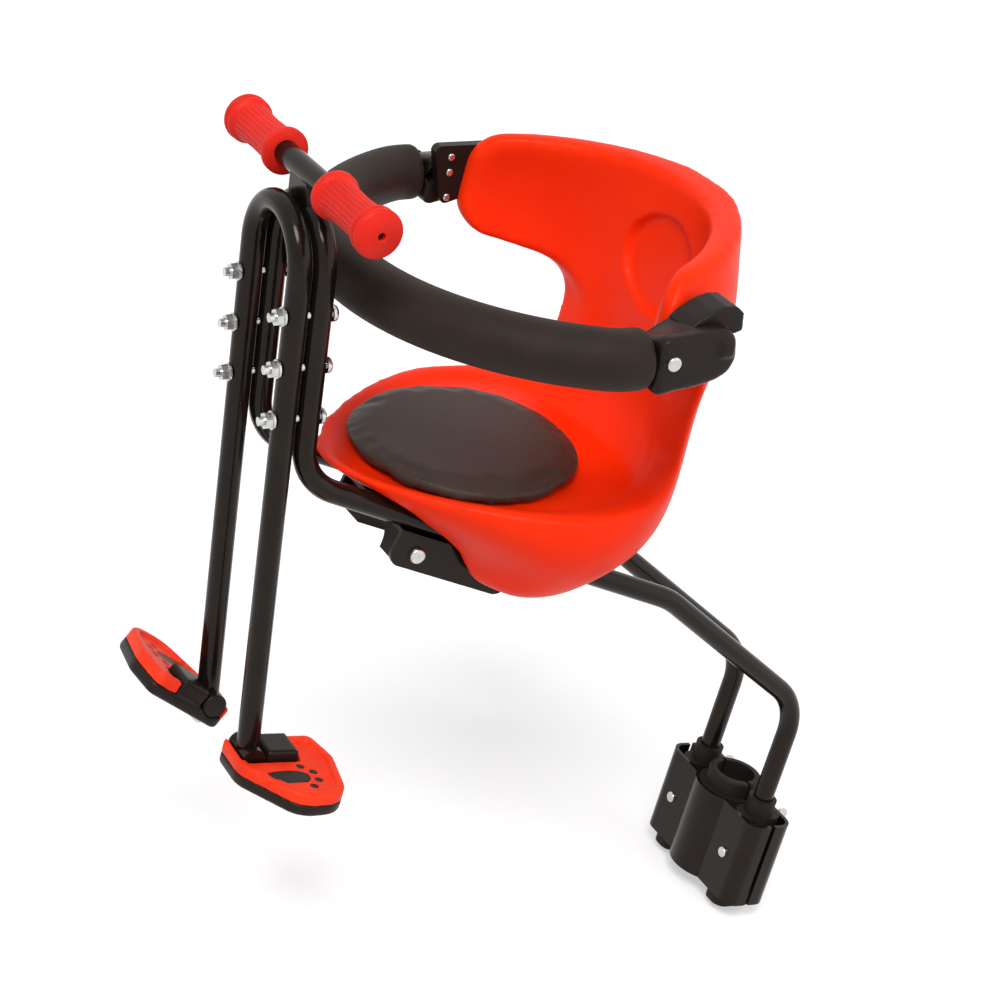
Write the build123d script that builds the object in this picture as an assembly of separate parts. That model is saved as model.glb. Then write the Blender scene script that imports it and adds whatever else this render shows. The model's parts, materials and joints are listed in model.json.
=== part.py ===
from build123d import *
import math

# Front-mounted child seat for a bicycle. Millimetres. +X is forward, +Y is the rider's left and +Z runs up
# the axis of the bicycle's seat tube. The origin is on that axis, at the middle of the clamp.

# Steel tubes of the two frames
TUBE_OD = 16.0
TUBE_WALL = 1.5
FRONT_SPAN = 74.0
REAR_SPAN = 80.0
TUBE_TAIL = 7.5
REAR_BEND_Z = 139.0
INCLINE_RUN = 158.0
INCLINE_RISE = 94.0
RAIL_RUN = 328.0
RAIL_RISE = 86.0
POST_LEAN = 8.3
U_TOP_Z = 498.0
REAR_BEND_R = 48.0
INCLINE_BEND_R = 70.0
POST_BEND_R = 40.0
U_CROWN = 1.0
FRAME_GAP = 1.0
FIT = 0.1

# Bolts that join the two frames, through both posts
FRAME_BOLT_D = 6.0
FRAME_BOLT_DROP = 61.0
FRAME_BOLT_PITCH = 36.3
FRAME_BOLT_COUNT = 3
BOLT_HEAD_D = 11.0
BOLT_HEAD_H = 4.0
BOLT_TIP = 4.0
WASHER_OD = 12.5
WASHER_T = 1.2
NUT_WIDTH = 10.0
NUT_H = 5.0

# Kids' handlebar
BAR_RISE = 20.0
BAR_LENGTH = 206.0
SADDLE_LENGTH = 30.0
SADDLE_WIDTH = 15.0
GRIP_LENGTH = 71.0
GRIP_BODY_D = 26.5
GRIP_WAIST_D = 24.0
GRIP_INNER_FLANGE_D = 32.0
GRIP_OUTER_FLANGE_D = 32.5
GRIP_FLANGE_T = 5.0
GRIP_GROOVE = 2.5
GRIP_END_WALL = 5.0
GRIP_DOME = 3.0
GRIP_HOLE_D = 5.0

# Moulded seat shell in level sections: height, rear, start of the nose, front, half width, rear corner radius
SHELL_BASE = (252.0, 283.0, 316.0, 348.0, 62.0, 30.0)
SHELL_BELLY = (270.0, 250.0, 312.0, 378.0, 97.0, 58.0)
SHELL_SIDE = (300.0, 224.0, 310.0, 424.0, 119.0, 80.0)
SHELL_RIM = (334.0, 207.0, 312.0, 472.0, 125.0, 93.0)
SHELL_WAIST = (400.0, 201.0, 320.0, 480.0, 115.0, 92.0)
SHELL_WING = (455.0, 205.0, 338.0, 500.0, 138.0, 110.0)
SHELL_SHOULDER = (505.0, 205.0, 352.0, 500.0, 142.0, 132.0)
SHELL_TOP = (548.0, 204.0, 358.0, 500.0, 141.0, 138.0)
SECTION_POINTS = 32
NOSE_LEAD = 0.3
NOSE_BLUNT = 0.3
PAN_BLUNT = 0.45
BACK_WALL = 25.0
SIDE_WALL = 14.0
FRONT_WALL = 26.0
PAN_TILT = 7.7
PAN_FLOOR_Z = 330.4
PAN_CURVE = 6.0
RIM_NOSE_X = 452.0
RIM_NOSE_Z = 321.0
WAIST_X = 236.0
WAIST_LOW_R = 30.0
WAIST_HIGH_R = 24.0
WING_LOW_Z = 447.0
WING_RISE = 4.6
WING_FRONT_X = 319.0
WING_CORNER_R = 24.0
WING_TOP_Z = 511.0
BACK_TOP_Z = 538.0
RECESS_WIDTH = 84.0
RECESS_HEIGHT = 68.0
RECESS_Z = 478.0
RECESS_DEPTH = 5.0
CHANNEL_MARGIN = 4.0

# Seat pad, which lies on the tilted floor of the pan
PAD_X = 349.0
PAD_LENGTH = 161.0
PAD_WIDTH = 159.0
PAD_T = 13.0
PAD_EDGE = 5.0

# Cross bars between the rails, with the bolts that hold the shell
CROSS_BAR_FRONT_X = 395.0
CROSS_BAR_REAR_X = 285.0
CROSS_BAR_WIDTH = 26.0
CROSS_BAR_T = 4.0
SEAT_BOLT_SPACING = 36.0
SEAT_BOLT_REACH = 11.0

# Bracket over the bicycle's top tube
CRADLE_X = 352.0
CRADLE_LENGTH = 104.0
CRADLE_DEPTH = 26.0
CRADLE_T = 3.0
CRADLE_CORNER_R = 10.0
TOP_TUBE_R = 18.0
CRADLE_SCREW_AHEAD = 32.0
CRADLE_SCREW_DROP = 14.0
CRADLE_SCREW_D = 6.0
CRADLE_HEAD_D = 12.0
CRADLE_SCREW_REACH = 14.0

# Guard rail
GUARD_SPAN = 326.0
GUARD_Z = 474.0
GUARD_END_X = 344.0
GUARD_FRONT_X = 471.0
GUARD_ARM = 8.0
GUARD_SIDE_R = 40.0
GUARD_DIP = 19.5
FOAM_OD = 40.0
FOAM_END_R = 3.0
CLAMP_BODY_LENGTH = 60.0
CLAMP_BODY_WIDTH = 38.0
CLAMP_TOP = 20.0
CLAMP_BOTTOM = 18.0
CLAMP_SLANT = 15.0
CLAMP_REAR_TOP = 24.0
CLAMP_REAR_LEAN = 5.0
CLAMP_REAR_BOTTOM = 3.0
CLAMP_BODY_R = 5.0
CLAMP_REAR_R = 11.0
THUMB_LENGTH = 11.0
SOCKET_DEPTH = 34.0
GUARD_BOLT_BACK = 11.0
GUARD_BOLT_RISE = 4.0
GUARD_BOLT_D = 6.0
GUARD_BOLT_HEAD_D = 10.0
GUARD_BOLT_HEAD_H = 2.6
HOOK_LENGTH = 72.0
HOOK_RISE = 8.0
HOOK_DROP = 8.0
HOOK_GAP = 1.5
HOOK_WIDTH = 22.0
HOOK_R = 4.0
HOOK_START = 21.0
INNER_PLATE_T = 8.0
INNER_PLATE_TOP = 29.0
INNER_PLATE_BOTTOM = 16.0
INNER_PLATE_SLANT = 10.0
INNER_SCREW_D = 5.5
INNER_SCREW_BACK = 14.0
INNER_SCREW_HEIGHTS = (20.5, 9.0, -10.0)

# Pedals at the bottom of the footrest legs
FOOT_Z = 109.0
BARREL_OD = 18.0
BARREL_LENGTH = 24.0
BARREL_CAP_T = 3.0
PEDAL_AHEAD = 14.0
PEDAL_BEHIND = 61.0
PEDAL_OUT = 62.0
PEDAL_IN = 16.0
PEDAL_FRONT_R = 22.0
PEDAL_REAR_R = 19.0
PEDAL_INNER_R = 7.0
BASE_T = 9.0
TREAD_T = 9.0
TREAD_DISH = 2.5
TREAD_LIP = 6.0
TREAD_EDGE = 2.0
SADDLE_DEPTH = 3.0
NOTCH_MARGIN = 2.0
BLOCK_LENGTH = 24.0
BLOCK_GAP = 1.0
BLOCK_RISE = 4.0
SOLE_BEHIND = 18.0
SOLE_LENGTH = 32.0
SOLE_WIDTH = 15.0
TOE_D = 6.0
TOE_COUNT = 4
TOE_FAN = 130.0
PEDAL_SCREW_D = 5.0
PEDAL_SCREW_HEAD_D = 9.0
PEDAL_SCREW_HEAD_H = 3.0
PEDAL_TILT_LEFT = 0.0
PEDAL_TILT_RIGHT = 29.0

# Clamp on the seat tube
SEAT_TUBE_R = 15.9
LINER_GAP = 1.6
LINER_SPLIT = 3.0
LINER_STEP = 13.0
LINER_STEP_WALL = 6.0
PLATE_T = 3.0
PLATE_HEIGHT = 75.0
PLATE_DEPTH = 18.0
PLATE_WRAP = 20.0
PLATE_MARGIN = 9.0
PLATE_CORNER_R = 9.0
PLATE_GAP = 4.0
SLEEVE_WALL = 3.5
SLEEVE_STEP = 14.0
SLEEVE_FOOT = 9.0
CLAMP_BOLT_D = 6.0
CLAMP_STUD_Z = 26.0
CLAMP_HEAD_D = 9.0
CLAMP_HEAD_H = 2.5
WING_HUB_D = 10.0
WING_HUB_H = 7.0
WING_SPAN = 25.0
WING_T = 2.5
WING_H = 9.0
END_CAP_T = 4.0
END_CAP_PLUG = 12.0

# Values that follow from the sizes above
TUBE_R = TUBE_OD / 2
REAR_TAIL = PLATE_HEIGHT / 2 + TUBE_TAIL
RAIL_START = Vector(INCLINE_RUN, 0, REAR_BEND_Z + INCLINE_RISE)
RAIL_END = RAIL_START + Vector(RAIL_RUN, 0, RAIL_RISE)
RAIL_SLOPE = math.degrees(math.atan2(RAIL_RISE, RAIL_RUN))
POST_UP = Vector(math.sin(math.radians(POST_LEAN)), 0, math.cos(math.radians(POST_LEAN)))
POST_FORWARD = Vector(POST_UP.Z, 0, -POST_UP.X)
POST_TOP = RAIL_END + POST_UP * ((U_TOP_Z - RAIL_END.Z) / POST_UP.Z)
LEG_TOP = POST_TOP + POST_FORWARD * (TUBE_OD + FRAME_GAP)
LEG_FOOT = LEG_TOP - POST_UP * ((LEG_TOP.Z - FOOT_Z) / POST_UP.Z)
U_BEND_R = (FRONT_SPAN - U_CROWN) / 2
BAR_CENTRE = POST_TOP + POST_UP * BAR_RISE
SIDE = Vector(0, 1, 0)
LEFT_POST = SIDE * (FRONT_SPAN / 2)
pieces = {}


def mirrored(part):
    return mirror(part, about=Plane.XZ)


def both_sides(part):
    return Part() + [part, mirrored(part)]


def flipped(point):
    return Vector(point.X, -point.Y, point.Z)


def looped(points):
    """A path that climbs one side and comes down the other as its mirror image."""
    return points + [flipped(point) for point in reversed(points)]


def tube_path(points, radii):
    return FilletPolyline(*looped(points), radius=radii + radii[::-1])


def swept(path, section):
    start = Plane(origin=path @ 0, z_dir=path % 0)
    return sweep(start * section, path=path)


def along(origin, direction, part):
    """Place a part whose own axis is +Z so that it points along a direction."""
    return Plane(origin=origin, z_dir=direction) * part


def rod(diameter, start, end):
    return Pos(0, 0, start) * extrude(Circle(diameter / 2), end - start)


def ring(outer, inner, height):
    return extrude(Circle(outer / 2) - Circle(inner / 2), height)


def round_head(diameter, height):
    """A pan head that stands on z = 0 and points to -Z."""
    head = Pos(0, 0, -height) * extrude(Circle(diameter / 2), height)
    return fillet(head.faces().sort_by(Axis.Z)[0].edges(), height * 0.6)


def bolt(diameter, length, head_d, head_h):
    return round_head(head_d, head_h) + rod(diameter, 0, length)


def rail_frame(x, lift=0.0):
    """Plane square to the rails' slope, over the centre line: its X runs up the rails."""
    foot = RAIL_START + Vector(x - RAIL_START.X, 0, (x - RAIL_START.X) * RAIL_RISE / RAIL_RUN)
    plane = Plane(origin=foot, x_dir=Vector(RAIL_RUN, 0, RAIL_RISE), z_dir=Vector(-RAIL_RISE, 0, RAIL_RUN))
    return plane.offset(lift)


def rail_half_span(x):
    share = (x - RAIL_START.X) / RAIL_RUN
    return REAR_SPAN / 2 + (FRONT_SPAN - REAR_SPAN) / 2 * share


# Main frame: clamp tubes, inclines, rails, posts and the rear U, bent from one tube
main_points = [
    Vector(0, REAR_SPAN / 2, -REAR_TAIL),
    Vector(0, REAR_SPAN / 2, REAR_BEND_Z),
    RAIL_START + SIDE * (REAR_SPAN / 2),
    RAIL_END + LEFT_POST,
    POST_TOP + LEFT_POST,
]
main_path = tube_path(main_points, [REAR_BEND_R, INCLINE_BEND_R, POST_BEND_R, U_BEND_R])
tube_section = Circle(TUBE_R) - Circle(TUBE_R - TUBE_WALL)
main_frame = swept(main_path, tube_section)

# Footrest frame: the front U, whose legs are coped onto the pedal barrels
leg_path = tube_path([LEG_FOOT + LEFT_POST, LEG_TOP + LEFT_POST], [U_BEND_R])
footrest_frame = swept(leg_path, tube_section)
barrel_seat = Pos(LEG_FOOT) * Rot(90, 0, 0) * extrude(Circle(BARREL_OD / 2 + FIT / 2), FRONT_SPAN, both=True)
footrest_frame -= barrel_seat
footrest_frame = Part() + footrest_frame.solids().sort_by(SortBy.VOLUME)[-1]

# Frame bolts: heads behind the posts, washers and nuts in front of the legs
bolt_run = 2 * TUBE_OD + FRAME_GAP
frame_bolt = bolt(FRAME_BOLT_D, bolt_run + WASHER_T + NUT_H + BOLT_TIP, BOLT_HEAD_D, BOLT_HEAD_H)
frame_washer = Pos(0, 0, bolt_run) * ring(WASHER_OD, FRAME_BOLT_D + FIT, WASHER_T)
nut_face = RegularPolygon(NUT_WIDTH / 2, 6, major_radius=False) - Circle(FRAME_BOLT_D / 2 + FIT / 2)
frame_nut = Pos(0, 0, bolt_run + WASHER_T) * extrude(nut_face, NUT_H)
bolt_hole = rod(FRAME_BOLT_D + 2 * FIT, -TUBE_R, bolt_run + TUBE_R)
bolts = []
washers = []
nuts = []
for row in range(FRAME_BOLT_COUNT):
    drop = FRAME_BOLT_DROP + row * FRAME_BOLT_PITCH
    for side in (1, -1):
        seat = POST_TOP - POST_UP * drop - POST_FORWARD * TUBE_R + LEFT_POST * side
        main_frame -= along(seat, POST_FORWARD, bolt_hole)
        footrest_frame -= along(seat, POST_FORWARD, bolt_hole)
        bolts.append(along(seat, POST_FORWARD, frame_bolt))
        washers.append(along(seat, POST_FORWARD, frame_washer))
        nuts.append(along(seat, POST_FORWARD, frame_nut))
pieces["frame_bolts"] = Part() + bolts
pieces["frame_washers"] = Part() + washers
pieces["frame_nuts"] = Part() + nuts

# Handlebar on a saddle that is shaped to the bar above and to the U below
bar_section = Circle(TUBE_R) - Circle(TUBE_R - TUBE_WALL)
handlebar = Pos(BAR_CENTRE) * Rot(90, 0, 0) * extrude(bar_section, BAR_LENGTH / 2, both=True)
pieces["handlebar"] = handlebar
saddle_plane = Plane(origin=POST_TOP, x_dir=POST_FORWARD, z_dir=POST_UP)
saddle = saddle_plane * Pos(0, 0, BAR_RISE / 2) * Box(SADDLE_WIDTH, SADDLE_LENGTH, BAR_RISE)
saddle = fillet(saddle.edges().filter_by(Axis(origin=(0, 0, 0), direction=POST_UP)), SADDLE_WIDTH / 5)
saddle -= Pos(BAR_CENTRE) * Rot(90, 0, 0) * extrude(Circle(TUBE_R + FIT), BAR_LENGTH / 2, both=True)
saddle -= swept(main_path, Circle(TUBE_R + FIT))
pieces["handlebar_saddle"] = Part() + saddle.solids().sort_by(SortBy.VOLUME)[-1]


def grip():
    """Rubber grip turned about the bar: flanges at both ends and a waisted body, closed by a domed end."""
    bore = TUBE_R + FIT / 2
    inner = GRIP_INNER_FLANGE_D / 2
    outer = GRIP_OUTER_FLANGE_D / 2
    body = GRIP_BODY_D / 2
    waist = GRIP_WAIST_D / 2
    end = GRIP_LENGTH - GRIP_DOME
    disc = end - GRIP_FLANGE_T
    lip = disc - GRIP_GROOVE - GRIP_FLANGE_T
    with BuildSketch() as half:
        with BuildLine():
            Polyline((bore, 0), (inner, 0), (inner, GRIP_FLANGE_T), (body, GRIP_FLANGE_T + inner - body))
            ThreePointArc(
                (body, GRIP_FLANGE_T + inner - body),
                (waist, (GRIP_FLANGE_T + inner - body + lip) / 2),
                (body, lip),
            )
            Polyline(
                (body, lip),
                (inner, lip + GRIP_FLANGE_T / 2),
                (inner, disc - GRIP_GROOVE),
                (body, disc - GRIP_GROOVE),
                (body, disc),
                (outer, disc),
                (outer, end - GRIP_DOME / 2),
            )
            Line((outer, end - GRIP_DOME / 2), (outer - GRIP_DOME, end))
            ThreePointArc(
                (outer - GRIP_DOME, end),
                (outer / 2, end + GRIP_DOME * 0.7),
                (GRIP_HOLE_D / 2, GRIP_LENGTH),
            )
            Polyline(
                (GRIP_HOLE_D / 2, GRIP_LENGTH),
                (GRIP_HOLE_D / 2, GRIP_LENGTH - GRIP_END_WALL),
                (bore, GRIP_LENGTH - GRIP_END_WALL),
                (bore, 0),
            )
        make_face()
    return revolve(Rot(90, 0, 0) * half.sketch, Axis.Z)


grip_start = BAR_CENTRE + SIDE * (BAR_LENGTH / 2 + GRIP_END_WALL + FIT - GRIP_LENGTH)
left_grip = along(grip_start, SIDE, grip())
pieces["grip_left"] = left_grip
pieces["grip_right"] = mirrored(left_grip)


def shell_section(row, rear=0.0, side=0.0, front=0.0, lift=0.0, blunt=NOSE_BLUNT):
    """One level of the bucket in plan, drawn in by the given walls: a round back and a pointed nose."""
    height, x_rear, x_nose, x_front, half, rear_r = row
    back = x_rear + rear
    tip = x_front - front
    width = half - side
    lead = x_nose + NOSE_LEAD * (tip - x_nose)
    back_corners = [(x_nose, width), (back, width), (back, -width), (x_nose, -width)]
    round_back = FilletPolyline(*back_corners, radius=rear_r - side)
    right_nose = Bezier((x_nose, -width), (lead, -width), (tip, -blunt * width), (tip, 0))
    left_nose = Bezier((tip, 0), (tip, blunt * width), (lead, width), (x_nose, width))
    outline = Wire([left_nose, *round_back.edges(), right_nose])
    points = [outline.position_at(step / SECTION_POINTS) for step in range(SECTION_POINTS)]
    return Pos(0, 0, height + lift) * make_face(Spline(*points, periodic=True))


def pan_tilted(part):
    """Tip a level part forward about the pan's floor under the middle of the pad."""
    return Pos(PAD_X, 0, PAN_FLOOR_Z) * Rot(0, PAN_TILT, 0) * Pos(-PAD_X, 0, -PAN_FLOOR_Z) * part


def rim_cut():
    """All that lies in front of the wings and above the rim, seen from the side."""
    lower = math.tan(math.radians(PAN_TILT))
    upper = math.tan(math.radians(WING_RISE))
    far_front = SHELL_TOP[3] + 2 * BACK_WALL
    top = SHELL_TOP[0] + BACK_WALL
    slope = (BACK_TOP_Z - WING_TOP_Z) / (WING_FRONT_X - SHELL_TOP[1])
    behind = SHELL_TOP[1] - BACK_WALL
    points = [
        (far_front, RIM_NOSE_Z - (far_front - RIM_NOSE_X) * lower),
        (WAIST_X, RIM_NOSE_Z + (RIM_NOSE_X - WAIST_X) * lower),
        (WAIST_X, WING_LOW_Z - (WING_FRONT_X - WAIST_X) * upper),
        (WING_FRONT_X, WING_LOW_Z),
        (WING_FRONT_X, WING_TOP_Z),
        (behind, BACK_TOP_Z + slope * BACK_WALL),
        (behind, top),
        (far_front, top),
    ]
    radii = [0, WAIST_LOW_R, WAIST_HIGH_R, WING_CORNER_R, WING_CORNER_R, 0, 0, 0]
    outline = FilletPolyline(*points, radius=radii, close=True)
    return extrude(Plane.XZ * make_face(outline), 2 * SHELL_SHOULDER[4], both=True)


def seat_shell():
    """Hollow-moulded bucket: a lofted outside, a lofted inside on a tilted floor, and the rim cut from the side."""
    lower_rows = [SHELL_BASE, SHELL_BELLY, SHELL_SIDE, SHELL_RIM]
    upper_rows = [SHELL_WAIST, SHELL_WING, SHELL_SHOULDER, SHELL_TOP]
    outside = loft([shell_section(row) for row in lower_rows + upper_rows])
    floor_drop = PAN_FLOOR_Z - SHELL_RIM[0]
    floor = shell_section(
        SHELL_RIM,
        BACK_WALL + PAN_CURVE,
        SIDE_WALL + PAN_CURVE,
        FRONT_WALL + PAN_CURVE,
        floor_drop,
        PAN_BLUNT,
    )
    side_foot = shell_section(
        SHELL_RIM, BACK_WALL, SIDE_WALL, FRONT_WALL, floor_drop + PAN_CURVE, PAN_BLUNT
    )
    walls = [shell_section(row, BACK_WALL, SIDE_WALL, FRONT_WALL, 0, PAN_BLUNT) for row in upper_rows]
    inside = loft([pan_tilted(floor), pan_tilted(side_foot)] + walls)
    shell = outside - inside - rim_cut()
    recess_x = SHELL_SHOULDER[1] + BACK_WALL - RECESS_DEPTH
    recess = extrude(Ellipse(RECESS_WIDTH / 2, RECESS_HEIGHT / 2), BACK_WALL)
    shell -= Plane(origin=(recess_x, 0, RECESS_Z), x_dir=SIDE, z_dir=(1, 0, 0)) * recess
    channel_half = REAR_SPAN / 2 + TUBE_R + CHANNEL_MARGIN
    channel = rail_frame(RAIL_START.X, TUBE_R + FIT) * Box(
        4 * RAIL_RUN, 2 * channel_half, RAIL_RUN, align=(Align.CENTER, Align.CENTER, Align.MAX)
    )
    shell -= channel
    shell -= swept(main_path, Circle(TUBE_R + CHANNEL_MARGIN / 2))
    return Part() + shell.solids().sort_by(SortBy.VOLUME)[-1]


shell = seat_shell()

# Cross bars lie between the rails, level with their tops, and take two seat bolts each
cross_bars = []
seat_bolts = []
rail_keep_out = swept(main_path, Circle(TUBE_R + FIT / 2))
for name, x in (("front", CROSS_BAR_FRONT_X), ("rear", CROSS_BAR_REAR_X)):
    top = rail_frame(x, TUBE_R)
    bar = top * Box(
        CROSS_BAR_WIDTH,
        2 * rail_half_span(x),
        CROSS_BAR_T,
        align=(Align.CENTER, Align.CENTER, Align.MAX),
    )
    bar -= rail_keep_out
    for side in (1, -1):
        place = top * Pos(0, side * SEAT_BOLT_SPACING / 2, -CROSS_BAR_T)
        hole = rod(FRAME_BOLT_D + 2 * FIT, -CROSS_BAR_T, CROSS_BAR_T + SEAT_BOLT_REACH + FIT)
        bar -= place * hole
        shell -= place * hole
        seat_bolts.append(place * bolt(FRAME_BOLT_D, CROSS_BAR_T + SEAT_BOLT_REACH, BOLT_HEAD_D, BOLT_HEAD_H))
    pieces[f"seat_cross_bar_{name}"] = bar
pieces["seat_bolts"] = Part() + seat_bolts
pieces["seat_shell"] = shell

# Seat pad
pad = Pos(PAD_X, 0, PAN_FLOOR_Z + FIT) * extrude(Ellipse(PAD_LENGTH / 2, PAD_WIDTH / 2), PAD_T)
pad = fillet(pad.faces().sort_by(Axis.Z)[-1].edges(), PAD_EDGE)
pieces["seat_pad"] = pan_tilted(pad)


# Bracket over the top tube: a folded channel under the rails, a rubber pad in it and a screw each side
cradle_top = rail_frame(CRADLE_X, -TUBE_R)
cradle_half = rail_half_span(CRADLE_X) + TUBE_R - CRADLE_T
cradle_block = Box(
    CRADLE_LENGTH,
    2 * (cradle_half + CRADLE_T),
    CRADLE_DEPTH,
    align=(Align.CENTER, Align.CENTER, Align.MAX),
)
lower_corners = cradle_block.faces().sort_by(Axis.Z)[0].edges().filter_by(Axis.Y)
cradle_block = fillet(lower_corners, CRADLE_CORNER_R)
cradle_hollow = Box(
    2 * CRADLE_LENGTH,
    2 * cradle_half,
    CRADLE_DEPTH,
    align=(Align.CENTER, Align.CENTER, Align.MAX),
)
cradle = cradle_block - Pos(0, 0, -CRADLE_T) * cradle_hollow
pad_height = CRADLE_DEPTH - CRADLE_T
cradle_pad = Pos(0, 0, -CRADLE_T) * Box(
    CRADLE_LENGTH - 2 * CRADLE_CORNER_R,
    2 * cradle_half,
    pad_height,
    align=(Align.CENTER, Align.CENTER, Align.MAX),
)
groove = Rot(0, 90, 0) * extrude(Circle(TOP_TUBE_R), CRADLE_LENGTH, both=True)
cradle_pad -= Pos(0, 0, -CRADLE_DEPTH) * groove
cradle_screws = []
for side in (1, -1):
    direction = Vector(0, -side, 0)
    spot = Vector(CRADLE_SCREW_AHEAD, side * (cradle_half + CRADLE_T), -CRADLE_SCREW_DROP)
    screw = bolt(CRADLE_SCREW_D, CRADLE_SCREW_REACH, CRADLE_HEAD_D, BOLT_HEAD_H)
    screw_hole = rod(CRADLE_SCREW_D + FIT, -CRADLE_T, CRADLE_SCREW_REACH + FIT)
    cradle -= along(spot, direction, screw_hole)
    cradle_pad -= along(spot, direction, screw_hole)
    cradle_screws.append(along(spot, direction, screw))
pieces["cradle_bracket"] = cradle_top * cradle
pieces["cradle_pad"] = cradle_top * cradle_pad
pieces["cradle_screws"] = cradle_top * (Part() + cradle_screws)


def guard_path(end_x):
    """C from one clamp round the front to the other: arms, side arcs and one front arc, dipped forward."""
    half = GUARD_SPAN / 2
    start = GUARD_END_X + GUARD_ARM
    reach = GUARD_FRONT_X - start
    offset = half - GUARD_SIDE_R
    front_r = (reach**2 + offset**2 - GUARD_SIDE_R**2) / (2 * (reach - GUARD_SIDE_R))
    front_centre = GUARD_FRONT_X - front_r
    turn = math.atan2(offset, start - front_centre)
    join = (front_centre + front_r * math.cos(turn), front_r * math.sin(turn))
    mid = (math.pi / 2 + turn) / 2
    bend = (start + GUARD_SIDE_R * math.cos(mid), offset + GUARD_SIDE_R * math.sin(mid))
    arm = Line((end_x, half), (start, half))
    side = ThreePointArc((start, half), bend, join)
    front = ThreePointArc(join, (GUARD_FRONT_X, 0), (join[0], -join[1]))
    other_side = ThreePointArc((join[0], -join[1]), (bend[0], -bend[1]), (start, -half))
    other_arm = Line((start, -half), (end_x, -half))
    path = Curve() + [arm, side, front, other_side, other_arm]
    dip = math.degrees(math.atan2(GUARD_DIP, GUARD_FRONT_X - GUARD_END_X))
    hinge = Pos(GUARD_END_X, 0, GUARD_Z) * Rot(0, dip, 0) * Pos(-GUARD_END_X, 0, 0)
    return hinge * path


guard_tube_path = guard_path(GUARD_END_X - SOCKET_DEPTH)
guard_tube = swept(guard_tube_path, tube_section)
foam_section = Circle(FOAM_OD / 2) - Circle(TUBE_R + FIT / 2)
foam = swept(guard_path(GUARD_END_X), foam_section)
foam_ends = foam.edges().filter_by(GeomType.CIRCLE).sort_by(SortBy.LENGTH)
foam_rims = [rim for rim in foam_ends if abs(rim.radius - FOAM_OD / 2) < FIT and abs(rim.normal().Y) < FIT]
pieces["guard_foam"] = fillet(foam_rims, FOAM_END_R)

# Clamp bodies at the ends of the guard, with their brackets on the wings
clamp_dip = math.degrees(math.atan2(GUARD_DIP, GUARD_FRONT_X - GUARD_END_X))
clamp_place = Pos(GUARD_END_X - FIT, GUARD_SPAN / 2, GUARD_Z) * Rot(0, clamp_dip, 0)
rear_top = (-CLAMP_BODY_LENGTH + CLAMP_REAR_LEAN, CLAMP_REAR_TOP)
with BuildSketch(Plane.XZ) as clamp_side:
    with BuildLine():
        FilletPolyline(
            (0, CLAMP_TOP),
            rear_top,
            (-CLAMP_BODY_LENGTH, -CLAMP_REAR_BOTTOM),
            (-CLAMP_SLANT, -CLAMP_BOTTOM),
            radius=[CLAMP_BODY_R, CLAMP_REAR_R, CLAMP_REAR_R, CLAMP_BODY_R],
            close=True,
        )
    make_face()
clamp_body = extrude(clamp_side.sketch, CLAMP_BODY_WIDTH / 2, both=True)
clamp_body = fillet(clamp_body.faces().sort_by(Axis.Y)[-1].edges(), CLAMP_BODY_R * 0.6)
clamp_body -= Pos(-SOCKET_DEPTH, 0, 0) * Rot(0, 90, 0) * rod(TUBE_OD + FIT, -FIT, SOCKET_DEPTH)
thumb_rise = (CLAMP_REAR_TOP - CLAMP_REAR_BOTTOM) / 2
thumb = Pos(-CLAMP_BODY_LENGTH + CLAMP_REAR_LEAN + THUMB_LENGTH / 2, CLAMP_BODY_WIDTH / 2, thumb_rise)
thumb_pad = thumb * Box(THUMB_LENGTH, CLAMP_BODY_R, CLAMP_REAR_TOP / 2)
thumb_pad = fillet(thumb_pad.edges(), CLAMP_BODY_R * 0.45)
clamp_body += thumb_pad
guard_bolt = bolt(GUARD_BOLT_D, CLAMP_BODY_WIDTH - INNER_PLATE_T, GUARD_BOLT_HEAD_D, GUARD_BOLT_HEAD_H)
guard_bolt_hole = rod(GUARD_BOLT_D + FIT, -GUARD_BOLT_HEAD_H, CLAMP_BODY_WIDTH - INNER_PLATE_T + FIT)
bolt_seat = Vector(-GUARD_BOLT_BACK, CLAMP_BODY_WIDTH / 2, GUARD_BOLT_RISE)
guard_bolt = along(bolt_seat, -SIDE, guard_bolt)
guard_bolt_hole = along(bolt_seat, -SIDE, guard_bolt_hole)
clamp_body -= guard_bolt_hole
pieces["guard_tube"] = guard_tube - both_sides(clamp_place * guard_bolt_hole)
top_slope = (CLAMP_REAR_TOP - CLAMP_TOP) / -rear_top[0]
hook_back = -CLAMP_BODY_LENGTH - HOOK_GAP
with BuildSketch(Plane.XZ) as hook_side:
    with BuildLine():
        FilletPolyline(
            (-HOOK_START, CLAMP_TOP + top_slope * HOOK_START + FIT),
            (-HOOK_LENGTH * 0.73, CLAMP_REAR_TOP + HOOK_RISE),
            (-HOOK_LENGTH, CLAMP_REAR_TOP + HOOK_RISE / 8),
            (-HOOK_LENGTH, CLAMP_REAR_TOP - HOOK_DROP),
            (hook_back, CLAMP_REAR_TOP - HOOK_DROP),
            (hook_back, CLAMP_REAR_TOP - top_slope * (hook_back - rear_top[0]) + FIT),
            radius=[HOOK_R / 2, 2 * HOOK_R, HOOK_R, HOOK_R, HOOK_R / 2, HOOK_R / 2],
            close=True,
        )
    make_face()
hook = extrude(hook_side.sketch, -HOOK_WIDTH)
hook = fillet(hook.faces().sort_by(Axis.Y)[-1].edges(), HOOK_R / 2.5)
hook = Pos(0, -CLAMP_BODY_WIDTH / 2, 0) * hook
with BuildSketch(Plane.XZ) as plate_side:
    with BuildLine():
        FilletPolyline(
            (0, INNER_PLATE_TOP),
            (rear_top[0], INNER_PLATE_TOP),
            (rear_top[0], -CLAMP_REAR_BOTTOM),
            (-INNER_PLATE_SLANT, -INNER_PLATE_BOTTOM),
            radius=CLAMP_BODY_R,
            close=True,
        )
    make_face()
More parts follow.
